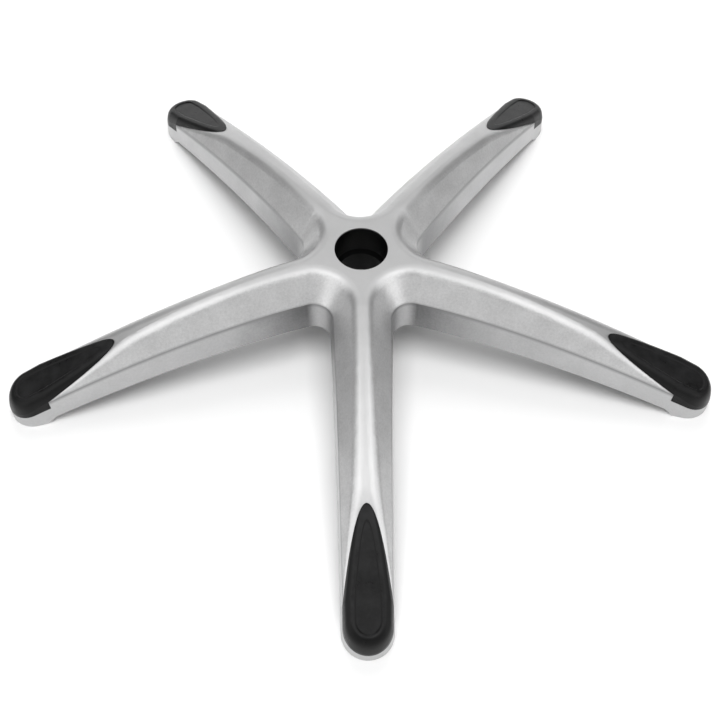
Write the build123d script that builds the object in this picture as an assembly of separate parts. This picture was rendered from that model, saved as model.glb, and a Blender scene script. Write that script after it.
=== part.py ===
"""Five-armed swivel chair base: a hollow aluminium casting with black tip caps and a column sleeve.

Millimetres. Z is the column axis, the floor is z = 0 and one arm points to -Y.
Every arm is drawn along +X first, with s its distance from the axis, and is then turned into place.
"""
from build123d import *
import math
import os

# Overall form
ARM_NAMES = ("front", "front_right", "back_right", "back_left", "front_left")
FRONT_ARM = -90.0           # degrees, direction of the first arm. The others follow at an even pitch
HUB_HEIGHT = 110.0          # floor to the flat top of the hub
NOSE_CENTRE = 334.5         # column axis to the centre of an arm's round nose, on the caster's axis
NOSE_RADIUS = 23.4          # at the floor
ROOT_HALF_WIDTH = 34.0      # of the arm at its root, carried down to the floor
VALLEY_RADIUS = 12.0        # of the corner between two arms, carried down to the floor
ROOT_MARGIN = 2.7           # straight side between a valley's curve and the root, where the arm begins to fall
DRAFT = 4.5                 # degrees, of the skirt

# Arm section, with its heights at the root and at the nose centre
FLANK_ANGLE = 53.0          # degrees below level
SHOULDER_RADIUS = 13.0      # between crest and flank
EDGE_DROP = 26.5            # from the hub's top down to the edge between flank and skirt
SKIRT_DEPTH = 32.7          # from that edge down to the skirt's lower edge
NOSE_CREST = 34.3           # crest carried on to the nose centre
NOSE_EDGE = 27.0
NOSE_BOTTOM = 2.8
FALL_POWER = 1.65           # 1 is a straight slope from the root, 2 a parabola
ARM_STATIONS = 9            # sections along an arm's hollow and lower edge
CREST_STATIONS = 6          # sections along its crest
BEND_STATIONS = 5           # sections along the bend into the land
LAND_STATIONS = 8           # sections along the land

# Tip: a sloping land under the cap, the cap's seat round the nose and the level foot
LAND_LENGTH = 99.5          # from where the land leaves the crest to the nose centre
LAND_AT_NOSE = 24.0         # height of the land at the nose centre
LAND_BLEND = 2.0            # depth of the soft bend from the crest into the land
BEND_REACH = 13.0           # of the bend to either side of the land's start
LAND_RADIUS = 2.0           # between land and flank, at the notch
NOTCH_SETBACK = 15.8        # from the step under the cap's wall to the nose centre
RIM_AT_NOTCH = 22.0         # height of the cap's lower rim
RIM_ANGLE = 17.3            # degrees below level, outwards
FOOT_SETBACK = 8.5          # from the inner end of the level foot to the nose centre
FOOT_RAMP = 9.0             # length of the ramp from the skirt's lower edge to the foot

# Tip cap
CAP_LENGTH = 90.0           # from the inner point of the teardrop to the nose centre
CAP_WALL = 3.0              # of the wall round the nose
CAP_SKIN = 2.5              # of the pad over the hollow inside
CAP_EDGE = 0.8              # upright edge of the cap above the land
CROWN_POWER = 2.6           # 1 is a straight flank from the edge to the pad, more is a fuller one
CROWN_SECTIONS = 3          # sections up the flank
CROWN_FLARE = 0.25          # by which the flank's surface runs on below the edge, as a share of its height
PAD_LENGTH = 78.0           # from the inner point of the pad to the nose centre
PAD_INSET = 9.0             # from the cap's outline to the pad
PAD_HEIGHT = 11.0           # of the pad above the cap's edge at the nose centre, falling to the cap's inner point
PAD_LIP = 0.8               # flat lip round the dish in the pad
DISH_DEPTH = 1.0            # at the nose centre, falling to the cap's inner point
DISH_RUN = 1.5              # width of the dish's sloping side
CAP_GAP = 0.15              # between cap and casting

# Hollow underside
SKIRT_WALL = 3.8
TOP_WALL = 4.4
RIB = 3.2                   # thickness of the ribs
RIB_LIFT = 8.0              # from the skirt's lower edge up to the ribs
CROSS_RIBS = 3              # across each arm
CASTER_BOSS_RADIUS = 11.5
CASTER_BORE_RADIUS = 5.5
CASTER_BORE_DEPTH = 20.0

# Column socket
COLUMN_RADIUS = 25.0        # of the gas-lift column that stands in it
COLUMN_GAP = 0.2            # between column and sleeve
SOCKET_DEPTH = 31.0         # from the hub's top to the conical step
STEP_HEIGHT = 4.5
STEP_WIDTH = 2.6            # by which the step narrows the bore
SLEEVE_WALL = 2.6           # above the step
SLEEVE_GAP = 0.05           # between sleeve and casting
LIP = 1.6                   # thickness of the casting over the sleeve
LIP_SETBACK = 0.2           # of the lip's edge behind the sleeve's wall
LIP_CHAMFER = 0.7           # of the opening's upper edge
LEDGE = 3.0                 # thickness of the casting under the sleeve
HUB_BOSS_WALL = 5.0
HUB_BOSS_DROP = 4.8         # from the skirt's lower edge down to the hub's lower end

# Worked-out values
TAN_DRAFT = math.tan(math.radians(DRAFT))
TAN_FLANK = math.tan(math.radians(FLANK_ANGLE))
TAN_RIM = math.tan(math.radians(RIM_ANGLE))
PITCH = 360 / len(ARM_NAMES)
HALF_PITCH = math.pi / len(ARM_NAMES)
ARM_ROOT = (ROOT_HALF_WIDTH + VALLEY_RADIUS) / math.tan(HALF_PITCH) + ROOT_MARGIN
EDGE_HEIGHT = HUB_HEIGHT - EDGE_DROP
SKIRT_BOTTOM = EDGE_HEIGHT - SKIRT_DEPTH
ARM_LENGTH = NOSE_CENTRE - ARM_ROOT
ARM_TIP = NOSE_CENTRE + NOSE_RADIUS
LAND_START = NOSE_CENTRE - LAND_LENGTH
NOTCH = NOSE_CENTRE - NOTCH_SETBACK
FOOT_START = NOSE_CENTRE - FOOT_SETBACK
CAP_APEX = NOSE_CENTRE - CAP_LENGTH
PAD_APEX = NOSE_CENTRE - PAD_LENGTH
SOCKET_RADIUS = COLUMN_RADIUS + COLUMN_GAP
OPENING_RADIUS = SOCKET_RADIUS + LIP_SETBACK
SEAT_RADIUS = SOCKET_RADIUS - STEP_WIDTH
SLEEVE_RADIUS = SOCKET_RADIUS + SLEEVE_WALL
BOSS_RADIUS = SLEEVE_RADIUS + SLEEVE_GAP + HUB_BOSS_WALL
HUB_BOTTOM = SKIRT_BOTTOM - HUB_BOSS_DROP
SLEEVE_BOTTOM = HUB_BOTTOM + LEDGE
SLEEVE_TOP = HUB_HEIGHT - LIP - SLEEVE_GAP
FAR = 1.2 * ARM_TIP         # clear of everything
EAVE = 8.0                  # by which roof surfaces run on past the skirt
SEAM = 0.01                 # within which the hub's and the arms' shoulders are one edge


def stations(start, end, count):
    """Distances from the axis at count equal steps."""
    return [start + (end - start) * i / count for i in range(count + 1)]


def at_arms(shape):
    """The shape turned from +X to each of the arms, in the order of their names."""
    return [Rot(0, 0, FRONT_ARM + PITCH * i) * shape for i in range(len(ARM_NAMES))]


def fall(s):
    """Share of the whole fall that an arm has made at distance s, level at the root."""
    return max(0.0, (s - ARM_ROOT) / ARM_LENGTH) ** FALL_POWER


def crest_height(s):
    return HUB_HEIGHT + (NOSE_CREST - HUB_HEIGHT) * fall(s)


def edge_height(s):
    return EDGE_HEIGHT + (NOSE_EDGE - EDGE_HEIGHT) * fall(s)


def bottom_height(s):
    return SKIRT_BOTTOM + (NOSE_BOTTOM - SKIRT_BOTTOM) * fall(s)


def land_slope():
    return (crest_height(LAND_START) - LAND_AT_NOSE) / LAND_LENGTH


def land_height(s):
    return LAND_AT_NOSE + land_slope() * (NOSE_CENTRE - s)


def top_height(s):
    """Height of an arm's top: the crest, then the land, with a soft bend between them."""
    drop = crest_height(s) - land_height(s)
    if abs(drop) < LAND_BLEND:
        drop = (drop + LAND_BLEND) ** 2 / (4 * LAND_BLEND)
    return crest_height(s) - max(0.0, drop)


def cap_edge_height(s):
    return land_height(s) + CAP_EDGE


def pad_height(s):
    return cap_edge_height(s) + PAD_HEIGHT * (s - CAP_APEX) / CAP_LENGTH


def rim_height(s):
    return RIM_AT_NOTCH - TAN_RIM * (s - NOTCH)


def floor_half_width(s):
    """Half-width of an arm carried down to the floor: parallel in the hub, then tapering to the nose."""
    share = max(0.0, (s - ARM_ROOT) / ARM_LENGTH)
    return ROOT_HALF_WIDTH + (NOSE_RADIUS - ROOT_HALF_WIDTH) * share


def edge_half_width(s):
    return floor_half_width(s) - TAN_DRAFT * edge_height(s)


def arm_outline(inset=0.0):
    """Plan of one arm at the floor, from the axis to its round nose."""
    root = ROOT_HALF_WIDTH - inset
    nose = NOSE_RADIUS - inset
    side = Polyline((NOSE_CENTRE, nose), (ARM_ROOT, root), (0, root), (0, -root), (ARM_ROOT, -root),
                    (NOSE_CENTRE, -nose))
    end = ThreePointArc((NOSE_CENTRE, -nose), (NOSE_CENTRE + nose, 0), (NOSE_CENTRE, nose))
    return make_face(side.edges() + end.edges())


def hub_strip(inset):
    """Plan of one arm in the hub, where its sides are parallel, carried past the root."""
    half_width = ROOT_HALF_WIDTH - inset
    return Pos(ARM_ROOT, 0) * Rectangle(2 * ARM_ROOT, 2 * half_width)


def star(arm, inset):
    """Five arms joined in plan, with the valleys between them rounded."""
    outline = Sketch() + at_arms(arm)
    valley = (ROOT_HALF_WIDTH - inset) / math.sin(HALF_PITCH)
    corners = [v for v in outline.vertices() if abs(math.hypot(v.X, v.Y) - valley) < 0.01 * valley]
    return fillet(corners, VALLEY_RADIUS + inset)


def drafted(outline, inset=0.0):
    """Solid from the floor to the hub's top, leaning in with the draft. outline gives a plan for an inset."""
    top_inset = inset + TAN_DRAFT * HUB_HEIGHT
    return loft([outline(inset).face(), (Pos(0, 0, HUB_HEIGHT) * outline(top_inset)).face()], ruled=True)


def side_cut(*points):
    """Block across an arm whose side view has these corners, as (s, height)."""
    side_view = make_face(Polyline(*points, close=True))
    return extrude(Plane.XZ * side_view, ROOT_HALF_WIDTH + SKIRT_WALL, both=True)


def below_curve(height, start, end):
    """Block across an arm below a height that varies with s."""
    top = Spline([(s, height(s)) for s in stations(start, end, ARM_STATIONS)])
    rest = Polyline((end, height(end)), (end, -HUB_HEIGHT), (start, -HUB_HEIGHT), (start, height(start)))
    return extrude(Plane.XZ * make_face(top.edges() + rest.edges()), ROOT_HALF_WIDTH + SKIRT_WALL, both=True)


def shoulder_radius(s, crest_half):
    """Radius between an arm's top and flank. It tightens along the land and is limited by the top's width."""
    share = min(1.0, max(0.0, (s - LAND_START) / (NOTCH - LAND_START)))
    radius = SHOULDER_RADIUS + (LAND_RADIUS - SHOULDER_RADIUS) * share
    return min(radius, 0.95 * crest_half / math.tan(math.radians(FLANK_ANGLE) / 2))


def roof_section(s, wall=0.0):
    """Section across an arm under its top and flanks, or a wall thickness inside them."""
    crest = top_height(s) - wall
    flank_drop = wall / math.cos(math.radians(FLANK_ANGLE))
    edge = edge_height(s) - flank_drop
    crest_half = edge_half_width(s) - (crest - edge) / TAN_FLANK
    eave_half = edge_half_width(s) + EAVE
    eave = edge - EAVE * TAN_FLANK
    corners = [(-eave_half, -HUB_HEIGHT), (eave_half, -HUB_HEIGHT), (eave_half, eave), (crest_half, crest),
               (-crest_half, crest), (-eave_half, eave)]
    profile = Sketch() + make_face(Polyline(*corners, close=True))
    if wall == 0.0:
        profile = fillet(profile.vertices().group_by(Axis.Y)[-1], shoulder_radius(s, crest_half))
    return (Plane(origin=(s, 0, 0), x_dir=(0, 1, 0), z_dir=(1, 0, 0)) * profile).face()


def arm_roof():
    """Everything below an arm's top and flanks, from the root outwards: crest, bend and land."""
    bend_start = LAND_START - BEND_REACH
    bend_end = LAND_START + BEND_REACH
    crest = loft([roof_section(s) for s in stations(ARM_ROOT, bend_start, CREST_STATIONS)])
    bend = loft([roof_section(s) for s in stations(bend_start, bend_end, BEND_STATIONS)])
    land = loft([roof_section(s) for s in stations(bend_end, ARM_TIP, LAND_STATIONS)], ruled=True)
    return crest.fuse(bend, land, tol=SEAM)


def hub_roof():
    """Everything below the hub's flat top and the flanks that run round its valleys."""
    edge_inset = TAN_DRAFT * EDGE_HEIGHT
    eave_inset = edge_inset - EAVE
    top_inset = edge_inset + (HUB_HEIGHT - EDGE_HEIGHT) / TAN_FLANK
    eave = star(hub_strip(eave_inset), eave_inset)
    top = star(hub_strip(top_inset), top_inset)
    eave_height = EDGE_HEIGHT - EAVE * TAN_FLANK
    roof = loft([(Pos(0, 0, eave_height) * eave).face(), (Pos(0, 0, HUB_HEIGHT) * top).face()], ruled=True)
    rims = roof.faces().sort_by(Axis.Z)[-1].edges()
    shoulders = [e for e in rims if math.hypot(e.center().X, e.center().Y) < 1.9 * ARM_ROOT]
    roof = fillet(shoulders, shoulder_radius(ARM_ROOT, ROOT_HALF_WIDTH - top_inset))
    return roof + Pos(0, 0, eave_height) * extrude(eave, -eave_height)


def arm_casting():
    """One arm of the casting, still solid underneath, with its tip cut for the cap and the foot."""
    arm = arm_roof() & drafted(arm_outline)
    ramp_start = FOOT_START - FOOT_RAMP
    arm -= below_curve(bottom_height, ARM_ROOT, ramp_start)
    arm -= side_cut((ramp_start, bottom_height(ramp_start)), (FOOT_START, 0), (ramp_start, 0))
    arm += Pos(NOSE_CENTRE, 0) * extrude(Circle(CASTER_BOSS_RADIUS), CASTER_BORE_DEPTH / 2)
    return arm - (above_rim() - drafted(arm_outline, CAP_WALL + CAP_GAP))


def above_land(lift):
    """Block across an arm above the land that the cap lies on."""
    return side_cut((ARM_ROOT, land_height(ARM_ROOT) + lift), (FAR, land_height(FAR) + lift),
                    (FAR, land_height(ARM_ROOT) + lift))


def above_rim(gap=0.0):
    """Block across an arm above the cap's lower rim, outwards of the notch."""
    return side_cut((NOTCH + gap, rim_height(NOTCH) + gap), (FAR, rim_height(FAR) + gap),
                    (FAR, 2 * HUB_HEIGHT), (NOTCH + gap, 2 * HUB_HEIGHT))


def above_pad(lift):
    """Block across an arm above the cap's pad."""
    return side_cut((ARM_ROOT, pad_height(ARM_ROOT) + lift), (FAR, pad_height(FAR) + lift),
                    (FAR, pad_height(ARM_ROOT) + lift))


def teardrop(apex, half_width, nose, slope=0.0):
    """Teardrop round the nose centre: a parabola from its apex to the notch, straight sides and a round nose.

    It is the plan of a drafted wall cut by a plane of this slope, drawn at its true length on that plane.
    """
    stretch = math.hypot(1, slope)
    start = (apex - NOSE_CENTRE) * stretch
    shoulder = (NOTCH - NOSE_CENTRE) * stretch
    middle = nose * TAN_DRAFT * slope * stretch
    sides = []
    for turn in (1, -1):
        sides += Bezier((start, 0), (start, turn * half_width / 2), (shoulder, turn * half_width)).edges()
        sides += Line((shoulder, turn * half_width), (middle, turn * nose)).edges()
    sides += EllipticalCenterArc((middle, 0), nose * stretch, nose, -90, arc_size=180).edges()
    return make_face(sides)


def cap_section(level, inset):
    """Outline of the cap's top on a plane between its edge (level 0) and its pad (level 1)."""
    edge = cap_edge_height(NOSE_CENTRE)
    slope = land_slope() - level * PAD_HEIGHT / CAP_LENGTH
    height = edge + level * PAD_HEIGHT
    plane = Plane(origin=(NOSE_CENTRE, 0, height), x_dir=(1, 0, -slope), z_dir=(slope, 0, 1))
    apex = CAP_APEX + (PAD_APEX - CAP_APEX) * inset / PAD_INSET
    nose = NOSE_RADIUS - TAN_DRAFT * edge - inset
    return (plane * teardrop(apex, edge_half_width(NOTCH) - inset, nose, slope)).face()


def cap_top():
    """Everything above the cap's full flanks and dished pad, to be cut from a block of the cap's plan."""
    flare = cap_section(-CROWN_FLARE, -CROWN_FLARE * PAD_INSET / 3)
    levels = [i / (CROWN_SECTIONS - 1) for i in range(CROWN_SECTIONS)]
    crown = loft([flare] + [cap_section(level, PAD_INSET * level ** CROWN_POWER) for level in levels])
    lip = PAD_INSET + PAD_LIP
    depth = DISH_DEPTH / PAD_HEIGHT
    dish = loft([cap_section(1 - depth, lip + DISH_RUN), cap_section(1 + depth, lip - DISH_RUN)], ruled=True)
    return extrude(flare, HUB_HEIGHT, dir=(0, 0, 1)) - crown + dish


def tip_cap():
    """One cap: a hollow pillow on the land with a wall that wraps the nose down to the rim."""
    half_width = edge_half_width(NOTCH)
    plan = Pos(NOSE_CENTRE, 0) * teardrop(CAP_APEX, half_width, NOSE_RADIUS)
    inner = extrude(plan, HUB_HEIGHT) - above_rim(CAP_GAP)
    nose = drafted(arm_outline) & above_rim(CAP_GAP)
    cap = inner & above_land(CAP_GAP)
    cap += nose - (drafted(arm_outline, CAP_WALL) - above_land(CAP_GAP))
    cap -= cap_top()
    core = Pos(NOSE_CENTRE, 0) * teardrop(PAD_APEX, half_width - PAD_INSET, NOSE_RADIUS - PAD_INSET)
    return cap - (extrude(core, HUB_HEIGHT) - above_pad(-CAP_SKIN))


def ribs():
    """Ribs under one arm, clear of its lower edge: one along it and three across."""
    spine = Pos(NOSE_CENTRE / 2, 0, 0) * Box(NOSE_CENTRE, RIB, 2 * HUB_HEIGHT)
    pitch = (NOTCH - ARM_ROOT) / (CROSS_RIBS + 1)
    places = [ARM_ROOT + pitch * (i + 1) for i in range(CROSS_RIBS)]
    webs = [Pos(s, 0, 0) * Box(RIB, 2 * ROOT_HALF_WIDTH, 2 * HUB_HEIGHT) for s in places]
    return spine + webs - below_curve(lambda s: bottom_height(s) + RIB_LIFT, 0, NOSE_CENTRE)


def arm_cavity():
    """Hollow under one arm, from the column boss to the end wall of the channel."""
    along = [0] + stations(ARM_ROOT, NOTCH, ARM_STATIONS)
    roof = loft([roof_section(s, TOP_WALL) for s in along], ruled=True)
    cavity = roof & drafted(arm_outline, SKIRT_WALL)
    end = NOTCH - SKIRT_WALL
    cavity -= side_cut((end, -HUB_HEIGHT), (FAR, -HUB_HEIGHT), (FAR, HUB_HEIGHT), (end, HUB_HEIGHT))
    return cavity - ribs()


def nose_cavity():
    """Ring-shaped hollow round the caster boss, open to the floor."""
    wall = SKIRT_WALL + CAP_WALL + CAP_GAP
    cavity = drafted(arm_outline, wall)
    cavity &= side_cut((NOTCH, -HUB_HEIGHT), (FAR, -HUB_HEIGHT), (FAR, HUB_HEIGHT), (NOTCH, HUB_HEIGHT))
    cavity -= above_land(-TOP_WALL)
    cavity -= Pos(NOSE_CENTRE, 0) * extrude(Circle(CASTER_BOSS_RADIUS), HUB_HEIGHT)
    return cavity


def star_base():
    """The casting: hub and arms in one, hollowed from below, with the column bore and the caster sockets."""
    prism = drafted(lambda inset: star(arm_outline(inset), inset))
    limits = RegularPolygon(ARM_ROOT, len(ARM_NAMES), major_radius=False, rotation=90)
    casting = hub_roof() & prism & Pos(0, 0, SKIRT_BOTTOM) * extrude(limits, HUB_HEIGHT)
    casting = casting.fuse(*at_arms(arm_casting()), tol=SEAM)
    hollow = arm_cavity() - extrude(Circle(BOSS_RADIUS), HUB_HEIGHT)
    bore = Pos(NOSE_CENTRE, 0) * extrude(Circle(CASTER_BORE_RADIUS), CASTER_BORE_DEPTH)
    for cut in at_arms(hollow) + at_arms(nose_cavity()) + at_arms(bore):
        casting -= cut
    casting += Pos(0, 0, HUB_BOTTOM) * extrude(Circle(BOSS_RADIUS), SKIRT_BOTTOM + TOP_WALL - HUB_BOTTOM)
    return casting - column_bore()


def column_bore():
    """Bore through the hub: the lip's opening, the pocket that holds the sleeve and the ledge's opening."""
    pocket_height = SLEEVE_TOP + SLEEVE_GAP - SLEEVE_BOTTOM
    bore = extrude(Circle(SEAT_RADIUS), HUB_HEIGHT)
    bore += Pos(0, 0, SLEEVE_BOTTOM) * extrude(Circle(OPENING_RADIUS), HUB_HEIGHT)
    bore += Pos(0, 0, SLEEVE_BOTTOM) * extrude(Circle(SLEEVE_RADIUS + SLEEVE_GAP), pocket_height)
    return bore + Pos(0, 0, HUB_HEIGHT) * Cone(OPENING_RADIUS - LIP_CHAMFER, OPENING_RADIUS + LIP_CHAMFER,
                                               2 * LIP_CHAMFER)


def cylinder_sleeve():
    """Sleeve for the column: a straight upper wall, a conical step and a narrower lower bore."""
    step = HUB_HEIGHT - SOCKET_DEPTH
    outside = [(SOCKET_RADIUS, SLEEVE_TOP), (SLEEVE_RADIUS, SLEEVE_TOP), (SLEEVE_RADIUS, SLEEVE_BOTTOM)]
    inside = [(SEAT_RADIUS, SLEEVE_BOTTOM), (SEAT_RADIUS, step - STEP_HEIGHT), (SOCKET_RADIUS, step)]
    return revolve(Plane.XZ * make_face(Polyline(*outside, *inside, close=True)), Axis.Z)


if __name__ == "__main__":
    os.makedirs("parts", exist_ok=True)
    cap = tip_cap()
    export_step(star_base(), "parts/star_base.step")
    export_step(cylinder_sleeve(), "parts/cylinder_sleeve.step")
    for name, turned in zip(ARM_NAMES, at_arms(cap)):
        export_step(turned, f"parts/tip_cap_{name}.step")
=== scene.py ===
"""Studio scene of a swivel chair base: satin cast aluminium, black tip caps and a black column sleeve."""
import math
import bpy
from mathutils import Matrix, Vector

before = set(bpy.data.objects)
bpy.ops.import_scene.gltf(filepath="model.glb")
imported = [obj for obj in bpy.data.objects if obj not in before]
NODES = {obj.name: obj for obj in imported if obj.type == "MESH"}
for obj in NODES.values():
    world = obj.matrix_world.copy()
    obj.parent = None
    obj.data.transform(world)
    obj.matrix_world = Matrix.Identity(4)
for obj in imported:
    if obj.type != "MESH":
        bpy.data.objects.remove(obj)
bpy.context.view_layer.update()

CAPS = [name for name in NODES if name.startswith("tip_cap")]

# Camera, in metres, degrees and, for the lens and its sensor, millimetres
CAMERA_TARGET = Vector((-0.0037, -0.1255, 0.1102))
CAMERA_DISTANCE = 0.8973
CAMERA_ELEVATION = 57.24
CAMERA_AZIMUTH = -2.10
CAMERA_ROLL = 1.12
CAMERA_LENS = 50.96
CAMERA_SENSOR = 36.0
CAMERA_NEAREST = 0.01

# Edge between an arm's flank and its skirt, in metres and degrees. It falls along a curve from root to nose
ARM_TURNS = (-90.0, -18.0, 54.0, 126.0, 198.0)
ARM_ROOT = 0.0660
ARM_NOSE = 0.3345
ROOT_EDGE = 0.0835
NOSE_EDGE = 0.0270
FALL_POWER = 1.65

# Tones of the metal, from the darkest grain to the lightest. The skirt tones hold painted shade, and the
# edge line is a painted shadow line
SATIN = ((0.535, 0.535, 0.537), (0.575, 0.575, 0.576))
BLASTED = ((0.455, 0.455, 0.457), (0.65, 0.65, 0.651))
# As-cast skirt skin, partly its own tone and partly painted shade standing in for the shaded floor that the
# skirts mirror
AS_CAST_AND_SHADE = ((0.375, 0.375, 0.378), (0.515, 0.515, 0.518))
# Painted shade on the skirts near the hub, where shade falls between the arms
PAINTED_HUB_SHADE = ((0.20, 0.20, 0.203), (0.31, 0.31, 0.313))
# Skirt tone towards the tips, where the painted shade fades
LESS_SHADED_SKIRT = ((0.475, 0.475, 0.477), (0.575, 0.575, 0.577))
# Painted shadow line along the edge between flank and skirt
PAINTED_CREASE_SHADOW = (0.27, 0.27, 0.272)

# How far a surface faces upwards where one finish of the metal gives way to the next. Below the flank the
# skirts take their painted shade
SKIRT_TO_FLANK = (0.16, 0.36)
FLANK_TO_CREST = (0.76, 0.95)

# Distances from the column's axis, in metres, over which the painted shade on the skirts changes: it sets in
# past the valleys, is deepest near the hub and fades towards the tips
VALLEY_TO_HUB_SHADE = (0.063, 0.074)
HUB_SHADE_FADES = (0.08, 0.15)
SKIRT_SHADE_LIFTS = (0.15, 0.34)
# Share of the painted hub shade that is left in the valleys
HUB_SHADE_IN_VALLEY = 0.15

# Depths below the edge between flank and skirt, in metres, over which its painted shadow line comes and goes
CREASE_SHADOW_COMES = (-0.0014, 0.0010)
CREASE_SHADOW_GOES = (0.0014, 0.0050)

# Black plastics: colour, colour where scuffed and painted lighter on top, least and most roughness, and how
# strongly they mirror
CAP_FINISH = {"tone": 0.0025, "scuff_and_top_light": 0.026, "smooth": 0.25, "rough": 0.43, "gloss": 0.18}
SLEEVE_FINISH = {"tone": 0.0025, "scuff_and_top_light": 0.004, "smooth": 0.34, "rough": 0.46, "gloss": 0.18}

# How far plastic faces upwards where it is scuffed and painted lighter, a painted highlight on its tops
SCUFF_AND_TOP_LIGHT_FACING = (0.90, 0.97)

# Part of a noise's values that is spread over a finish
NOISE_RANGE = (0.3, 0.7)

# Floor, in metres, just under the feet
FLOOR_HEIGHT = -0.0002
FLOOR_HALF_SIDE = 6.0
FLOOR_COLOUR = (0.95, 0.95, 0.95, 1.0)
FLOOR_GLOW = 0.04

# Light. Lamps are given by name, place, aim, width and depth in metres, and the brightness of the face
WORLD_COLOUR = (1.0, 1.0, 1.0, 1.0)
WORLD_STRENGTH = 0.33
KEY_LAMPS = (
    ("key", (0.0, -0.55, 2.60), (0.0, 0.0, 0.0), 1.7, 1.7, 4.2),
    ("back_key", (0.0, 1.30, 2.00), (0.0, 0.0, 0.0), 1.2, 1.2, 2.7),
)
CARDS = (
    ("ceiling", (0.0, 0.45, 1.90), (0.0, 0.45, 0.0), 3.0, 2.6, 0.58),
    ("top_card", (0.0, -0.80, 1.50), (0.0, -0.05, 0.05), 1.6, 1.2, 0.50),
    ("back_card", (0.0, 2.40, 0.85), (0.0, 0.0, 0.10), 3.4, 1.7, 0.58),
    ("front_card", (0.0, -2.40, 0.75), (0.0, 0.0, 0.10), 2.6, 1.3, 0.50),
    ("left_softbox", (-1.05, -0.50, 1.05), (0.0, -0.05, 0.05), 1.5, 1.5, 0.86),
    ("left_side", (-1.50, -1.20, 0.45), (0.0, 0.0, 0.05), 1.6, 0.8, 0.66),
    ("right_softbox", (1.05, -0.50, 1.05), (0.0, -0.05, 0.05), 1.5, 1.5, 0.86),
    ("right_side", (1.50, -1.20, 0.45), (0.0, 0.0, 0.05), 1.6, 0.8, 0.66),
)


class Material:
    """A node material with one Principled shader and helpers to wire it."""

    def __init__(self, name):
        self.material = bpy.data.materials.new(name)
        self.material.use_nodes = True
        self.nodes = self.material.node_tree.nodes
        self.links = self.material.node_tree.links
        self.shader = self.nodes["Principled BSDF"]
        self.place = self.add("ShaderNodeTexCoord").outputs["Object"]

    def add(self, kind, **settings):
        node = self.nodes.new(kind)
        for key, value in settings.items():
            setattr(node, key, value)
        return node

    def join(self, source, target):
        self.links.new(source, target)

    def noise(self, scale, detail, rough=0.5):
        """Noise over the object's own coordinates, with its scale per metre."""
        node = self.add("ShaderNodeTexNoise")
        node.inputs["Scale"].default_value = scale
        node.inputs["Detail"].default_value = detail
        node.inputs["Roughness"].default_value = rough
        self.join(self.place, node.inputs["Vector"])
        return node.outputs["Fac"]

    def spread(self, value, low, high, start=NOISE_RANGE[0], end=NOISE_RANGE[1]):
        """Maps a value from start..end to low..high, and keeps it in there."""
        node = self.add("ShaderNodeMapRange")
        node.inputs["From Min"].default_value = start
        node.inputs["From Max"].default_value = end
        node.inputs["To Min"].default_value = low
        node.inputs["To Max"].default_value = high
        self.join(value, node.inputs["Value"])
        return node.outputs["Result"]

    def average(self, first, second, share):
        """Value between two, with the second one's share."""
        node = self.add("ShaderNodeMix", data_type="FLOAT")
        factor, start, end = [socket for socket in node.inputs if socket.type == "VALUE" and socket.enabled]
        factor.default_value = share
        self.join(first, start)
        self.join(second, end)
        return [socket for socket in node.outputs if socket.enabled][0]

    def combine(self, operation, first, second):
        """Result of one operation, such as MULTIPLY, on two values."""
        node = self.add("ShaderNodeMath", operation=operation)
        self.join(first, node.inputs[0])
        self.join(second, node.inputs[1])
        return node.outputs[0]

    def height_of(self, vector):
        split = self.add("ShaderNodeSeparateXYZ")
        self.join(vector, split.inputs["Vector"])
        return split.outputs["Z"]

    def facing_up(self):
        """How far the surface faces upwards: 1 on a level top, 0 on an upright wall."""
        return self.height_of(self.add("ShaderNodeNewGeometry").outputs["Normal"])

    def from_axis(self):
        """Distance from the column's axis, in metres."""
        level = self.add("ShaderNodeVectorMath", operation="MULTIPLY")
        level.inputs[1].default_value = (1.0, 1.0, 0.0)
        self.join(self.place, level.inputs[0])
        length = self.add("ShaderNodeVectorMath", operation="LENGTH")
        self.join(level.outputs["Vector"], length.inputs[0])
        return length.outputs["Value"]

    def along_arm(self):
        """Distance from the column's axis along the nearest arm, in metres."""
        reaches = []
        for turn in ARM_TURNS:
            arm = self.add("ShaderNodeVectorMath", operation="DOT_PRODUCT")
            arm.inputs[1].default_value = (math.cos(math.radians(turn)), math.sin(math.radians(turn)), 0.0)
            self.join(self.place, arm.inputs[0])
            reaches.append(arm.outputs["Value"])
        furthest = reaches[0]
        for reach in reaches[1:]:
            furthest = self.combine("MAXIMUM", furthest, reach)
        return furthest

    def below_edge(self):
        """Depth below the edge between flank and skirt, in metres."""
        fall = self.add("ShaderNodeMath", operation="POWER")
        self.join(self.spread(self.along_arm(), 0.0, 1.0, ARM_ROOT, ARM_NOSE), fall.inputs[0])
        fall.inputs[1].default_value = FALL_POWER
        edge = self.spread(fall.outputs[0], ROOT_EDGE, NOSE_EDGE, 0.0, 1.0)
        return self.combine("SUBTRACT", edge, self.height_of(self.place))

    def blend(self, factor, first, second):
        """Colour between two, each a colour or a node's output, by a factor."""
        node = self.add("ShaderNodeMix", data_type="RGBA")
        ends = [socket for socket in node.inputs if socket.type == "RGBA"]
        for end, colour in zip(ends, (first, second)):
            if isinstance(colour, tuple):
                end.default_value = (*colour, 1.0)
            else:
                self.join(colour, end)
        self.join(factor, node.inputs["Factor"])
        return [socket for socket in node.outputs if socket.type == "RGBA"][0]

    def bump(self, *layers):
        """Stacks bump layers, each (height, strength, distance in metres), and wires them to the shader."""
        normal = None
        for height, strength, distance in layers:
            node = self.add("ShaderNodeBump")
            node.inputs["Strength"].default_value = strength
            node.inputs["Distance"].default_value = distance
            self.join(height, node.inputs["Height"])
            if normal is not None:
                self.join(normal, node.inputs["Normal"])
            normal = node.outputs["Normal"]
        self.join(normal, self.shader.inputs["Normal"])


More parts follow.
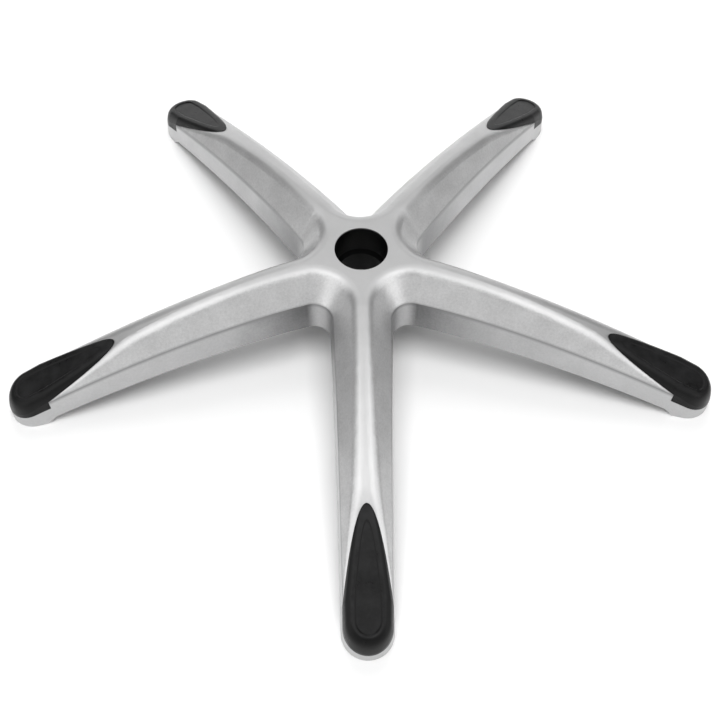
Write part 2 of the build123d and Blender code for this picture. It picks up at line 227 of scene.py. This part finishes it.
def satin_aluminium():
    """Die-cast aluminium: satin on the crests, blasted to a fine grain on the flanks, as cast on the skirts.

    The skirts' skin is painted darker with shade, deepest towards the hub and fading towards the tips, with
    a painted shadow line along its upper edge; part of the darkness is the as-cast skin's own tone.
    """
    metal = Material("satin_aluminium")
    grain = metal.noise(scale=950.0, detail=2.0, rough=0.6)
    speckle = metal.noise(scale=460.0, detail=3.0, rough=0.75)
    patches = metal.noise(scale=34.0, detail=5.0, rough=0.62)
    flow = metal.noise(scale=9.0, detail=2.0)
    upwards = metal.facing_up()
    reach = metal.from_axis()
    depth = metal.below_edge()

    cloud = metal.spread(patches, 0.0, 1.0)
    grit = metal.average(cloud, metal.spread(speckle, 0.0, 1.0), share=0.55)
    on_crest = metal.spread(upwards, 0.0, 1.0, *FLANK_TO_CREST)
    top = metal.blend(on_crest, metal.blend(grit, *BLASTED), metal.blend(cloud, *SATIN))
    # The skirt's painted shade lightens from the hub out towards the tips
    near_tip = metal.spread(reach, 0.0, 1.0, *SKIRT_SHADE_LIFTS)
    skin_and_shade = metal.blend(near_tip, metal.blend(grit, *AS_CAST_AND_SHADE), metal.blend(grit, *LESS_SHADED_SKIRT))
    # Painted shade deepest near the hub, with only a little of it in the valleys
    out_of_valley = metal.spread(reach, HUB_SHADE_IN_VALLEY, 1.0, *VALLEY_TO_HUB_SHADE)
    hub_shade = metal.combine("MULTIPLY", out_of_valley, metal.spread(reach, 1.0, 0.0, *HUB_SHADE_FADES))
    skirt = metal.blend(hub_shade, skin_and_shade, metal.blend(grit, *PAINTED_HUB_SHADE))
    # Skirts take the painted shade, flanks and crests the metal's own tones
    colour = metal.blend(metal.spread(upwards, 0.0, 1.0, *SKIRT_TO_FLANK), skirt, top)
    # Painted shadow line along the edge between flank and skirt
    crease_shadow_start = metal.spread(depth, 0.0, 1.0, *CREASE_SHADOW_COMES)
    crease_shadow = metal.combine("MULTIPLY", crease_shadow_start, metal.spread(depth, 1.0, 0.0, *CREASE_SHADOW_GOES))
    metal.join(metal.blend(crease_shadow, colour, PAINTED_CREASE_SHADOW), metal.shader.inputs["Base Color"])

    rough = metal.average(metal.spread(flow, 0.36, 0.43), metal.spread(speckle, 0.33, 0.49), share=0.45)
    metal.join(rough, metal.shader.inputs["Roughness"])
    metal.shader.inputs["Metallic"].default_value = 1.0
    blast = metal.combine("MULTIPLY", grain, metal.spread(upwards, 1.0, 0.25, *FLANK_TO_CREST))
    metal.bump((patches, 0.06, 0.001), (blast, 0.35, 0.0002))
    return metal.material


def black_moulding(name, tone, scuff_and_top_light, smooth, rough, gloss):
    """Black plastic with the fine even texture of a spark-eroded mould, scuffed and painted greyer where it
    faces up, partly a painted highlight on the tops.
    """
    plastic = Material(name)
    texture = plastic.noise(scale=1100.0, detail=2.0, rough=0.6)
    rubbed = plastic.noise(scale=70.0, detail=5.0, rough=0.68)
    on_top = plastic.spread(plastic.facing_up(), 0.0, 1.0, *SCUFF_AND_TOP_LIGHT_FACING)
    # Scuffs, together with a painted highlight on the tops that face up
    scuff_and_top_light_mask = plastic.combine("MULTIPLY", on_top, plastic.spread(rubbed, 0.0, 1.0))
    colour = plastic.blend(scuff_and_top_light_mask, (tone, tone, tone * 1.04), (scuff_and_top_light, scuff_and_top_light, scuff_and_top_light * 1.03))
    plastic.join(colour, plastic.shader.inputs["Base Color"])
    plastic.join(plastic.spread(rubbed, smooth, rough), plastic.shader.inputs["Roughness"])
    plastic.shader.inputs["Specular IOR Level"].default_value = gloss
    plastic.bump((rubbed, 0.06, 0.001), (texture, 0.35, 0.0002))
    return plastic.material


def dress(names, material):
    for name in names:
        slots = NODES[name].data.materials
        slots.clear()
        slots.append(material)


def floor_material():
    """Pale and matt, and lifted a little towards white where it is seen or mirrored."""
    material = bpy.data.materials.new("pale_floor")
    material.use_nodes = True
    nodes = material.node_tree.nodes
    links = material.node_tree.links
    nodes.clear()
    diffuse = nodes.new("ShaderNodeBsdfDiffuse")
    diffuse.inputs["Color"].default_value = FLOOR_COLOUR
    path = nodes.new("ShaderNodeLightPath")
    seen = path.outputs["Is Camera Ray"]
    for ray in ("Is Glossy Ray", "Is Transmission Ray"):
        either = nodes.new("ShaderNodeMath")
        either.operation = "MAXIMUM"
        links.new(seen, either.inputs[0])
        links.new(path.outputs[ray], either.inputs[1])
        seen = either.outputs[0]
    strength = nodes.new("ShaderNodeMath")
    strength.operation = "MULTIPLY"
    strength.inputs[1].default_value = FLOOR_GLOW
    links.new(seen, strength.inputs[0])
    glow = nodes.new("ShaderNodeEmission")
    links.new(strength.outputs[0], glow.inputs["Strength"])
    total = nodes.new("ShaderNodeAddShader")
    links.new(diffuse.outputs[0], total.inputs[0])
    links.new(glow.outputs[0], total.inputs[1])
    output = nodes.new("ShaderNodeOutputMaterial")
    links.new(total.outputs[0], output.inputs["Surface"])
    return material


def shaded_floor():
    """Level floor that keeps the shadow."""
    mesh = bpy.data.meshes.new("floor")
    sides = ((-1, -1), (1, -1), (1, 1), (-1, 1))
    corners = [(x * FLOOR_HALF_SIDE, y * FLOOR_HALF_SIDE, FLOOR_HEIGHT) for x, y in sides]
    mesh.from_pydata(corners, [], [(0, 1, 2, 3)])
    mesh.materials.append(floor_material())
    floor = bpy.data.objects.new("floor", mesh)
    bpy.context.scene.collection.objects.link(floor)


def lamp(name, place, aim, width, depth, level, card):
    """Rectangular lamp whose face is as bright as its level.

    A card shows only in gloss, and a lamp that isn't a card lights only matt surfaces.
    """
    light = bpy.data.lights.new(name, "AREA")
    light.shape = "RECTANGLE"
    light.size = width
    light.size_y = depth
    light.energy = 4.0 * width * depth * level
    holder = bpy.data.objects.new(name, light)
    holder.location = place
    holder.rotation_euler = (Vector(aim) - Vector(place)).to_track_quat("-Z", "Y").to_euler()
    holder.visible_diffuse = not card
    holder.visible_glossy = card
    bpy.context.scene.collection.objects.link(holder)


def studio_light():
    world = bpy.data.worlds.new("studio")
    bpy.context.scene.world = world
    world.use_nodes = True
    background = world.node_tree.nodes["Background"]
    background.inputs["Color"].default_value = WORLD_COLOUR
    background.inputs["Strength"].default_value = WORLD_STRENGTH
    for settings in KEY_LAMPS:
        lamp(*settings, card=False)
    for settings in CARDS:
        lamp(*settings, card=True)


def aim_camera():
    tilt, turn, roll = (math.radians(angle) for angle in (CAMERA_ELEVATION, CAMERA_AZIMUTH, CAMERA_ROLL))
    back = Vector((math.sin(turn) * math.cos(tilt), -math.cos(turn) * math.cos(tilt), math.sin(tilt)))
    level = Vector((math.cos(turn), math.sin(turn), 0.0))
    rise = back.cross(level)
    right = math.cos(roll) * level + math.sin(roll) * rise
    up = math.cos(roll) * rise - math.sin(roll) * level
    lens = bpy.data.cameras.new("camera")
    lens.sensor_width = CAMERA_SENSOR
    lens.lens = CAMERA_LENS
    lens.clip_start = CAMERA_NEAREST
    camera = bpy.data.objects.new("camera", lens)
    axes = Matrix((right, up, back)).transposed().to_4x4()
    camera.matrix_world = Matrix.Translation(CAMERA_TARGET + back * CAMERA_DISTANCE) @ axes
    bpy.context.scene.collection.objects.link(camera)
    bpy.context.scene.camera = camera


dress(["star_base"], satin_aluminium())
dress(CAPS, black_moulding("cap_plastic", **CAP_FINISH))
dress(["cylinder_sleeve"], black_moulding("sleeve_plastic", **SLEEVE_FINISH))
shaded_floor()
studio_light()
aim_camera()
bpy.context.scene.view_settings.view_transform = "Standard"
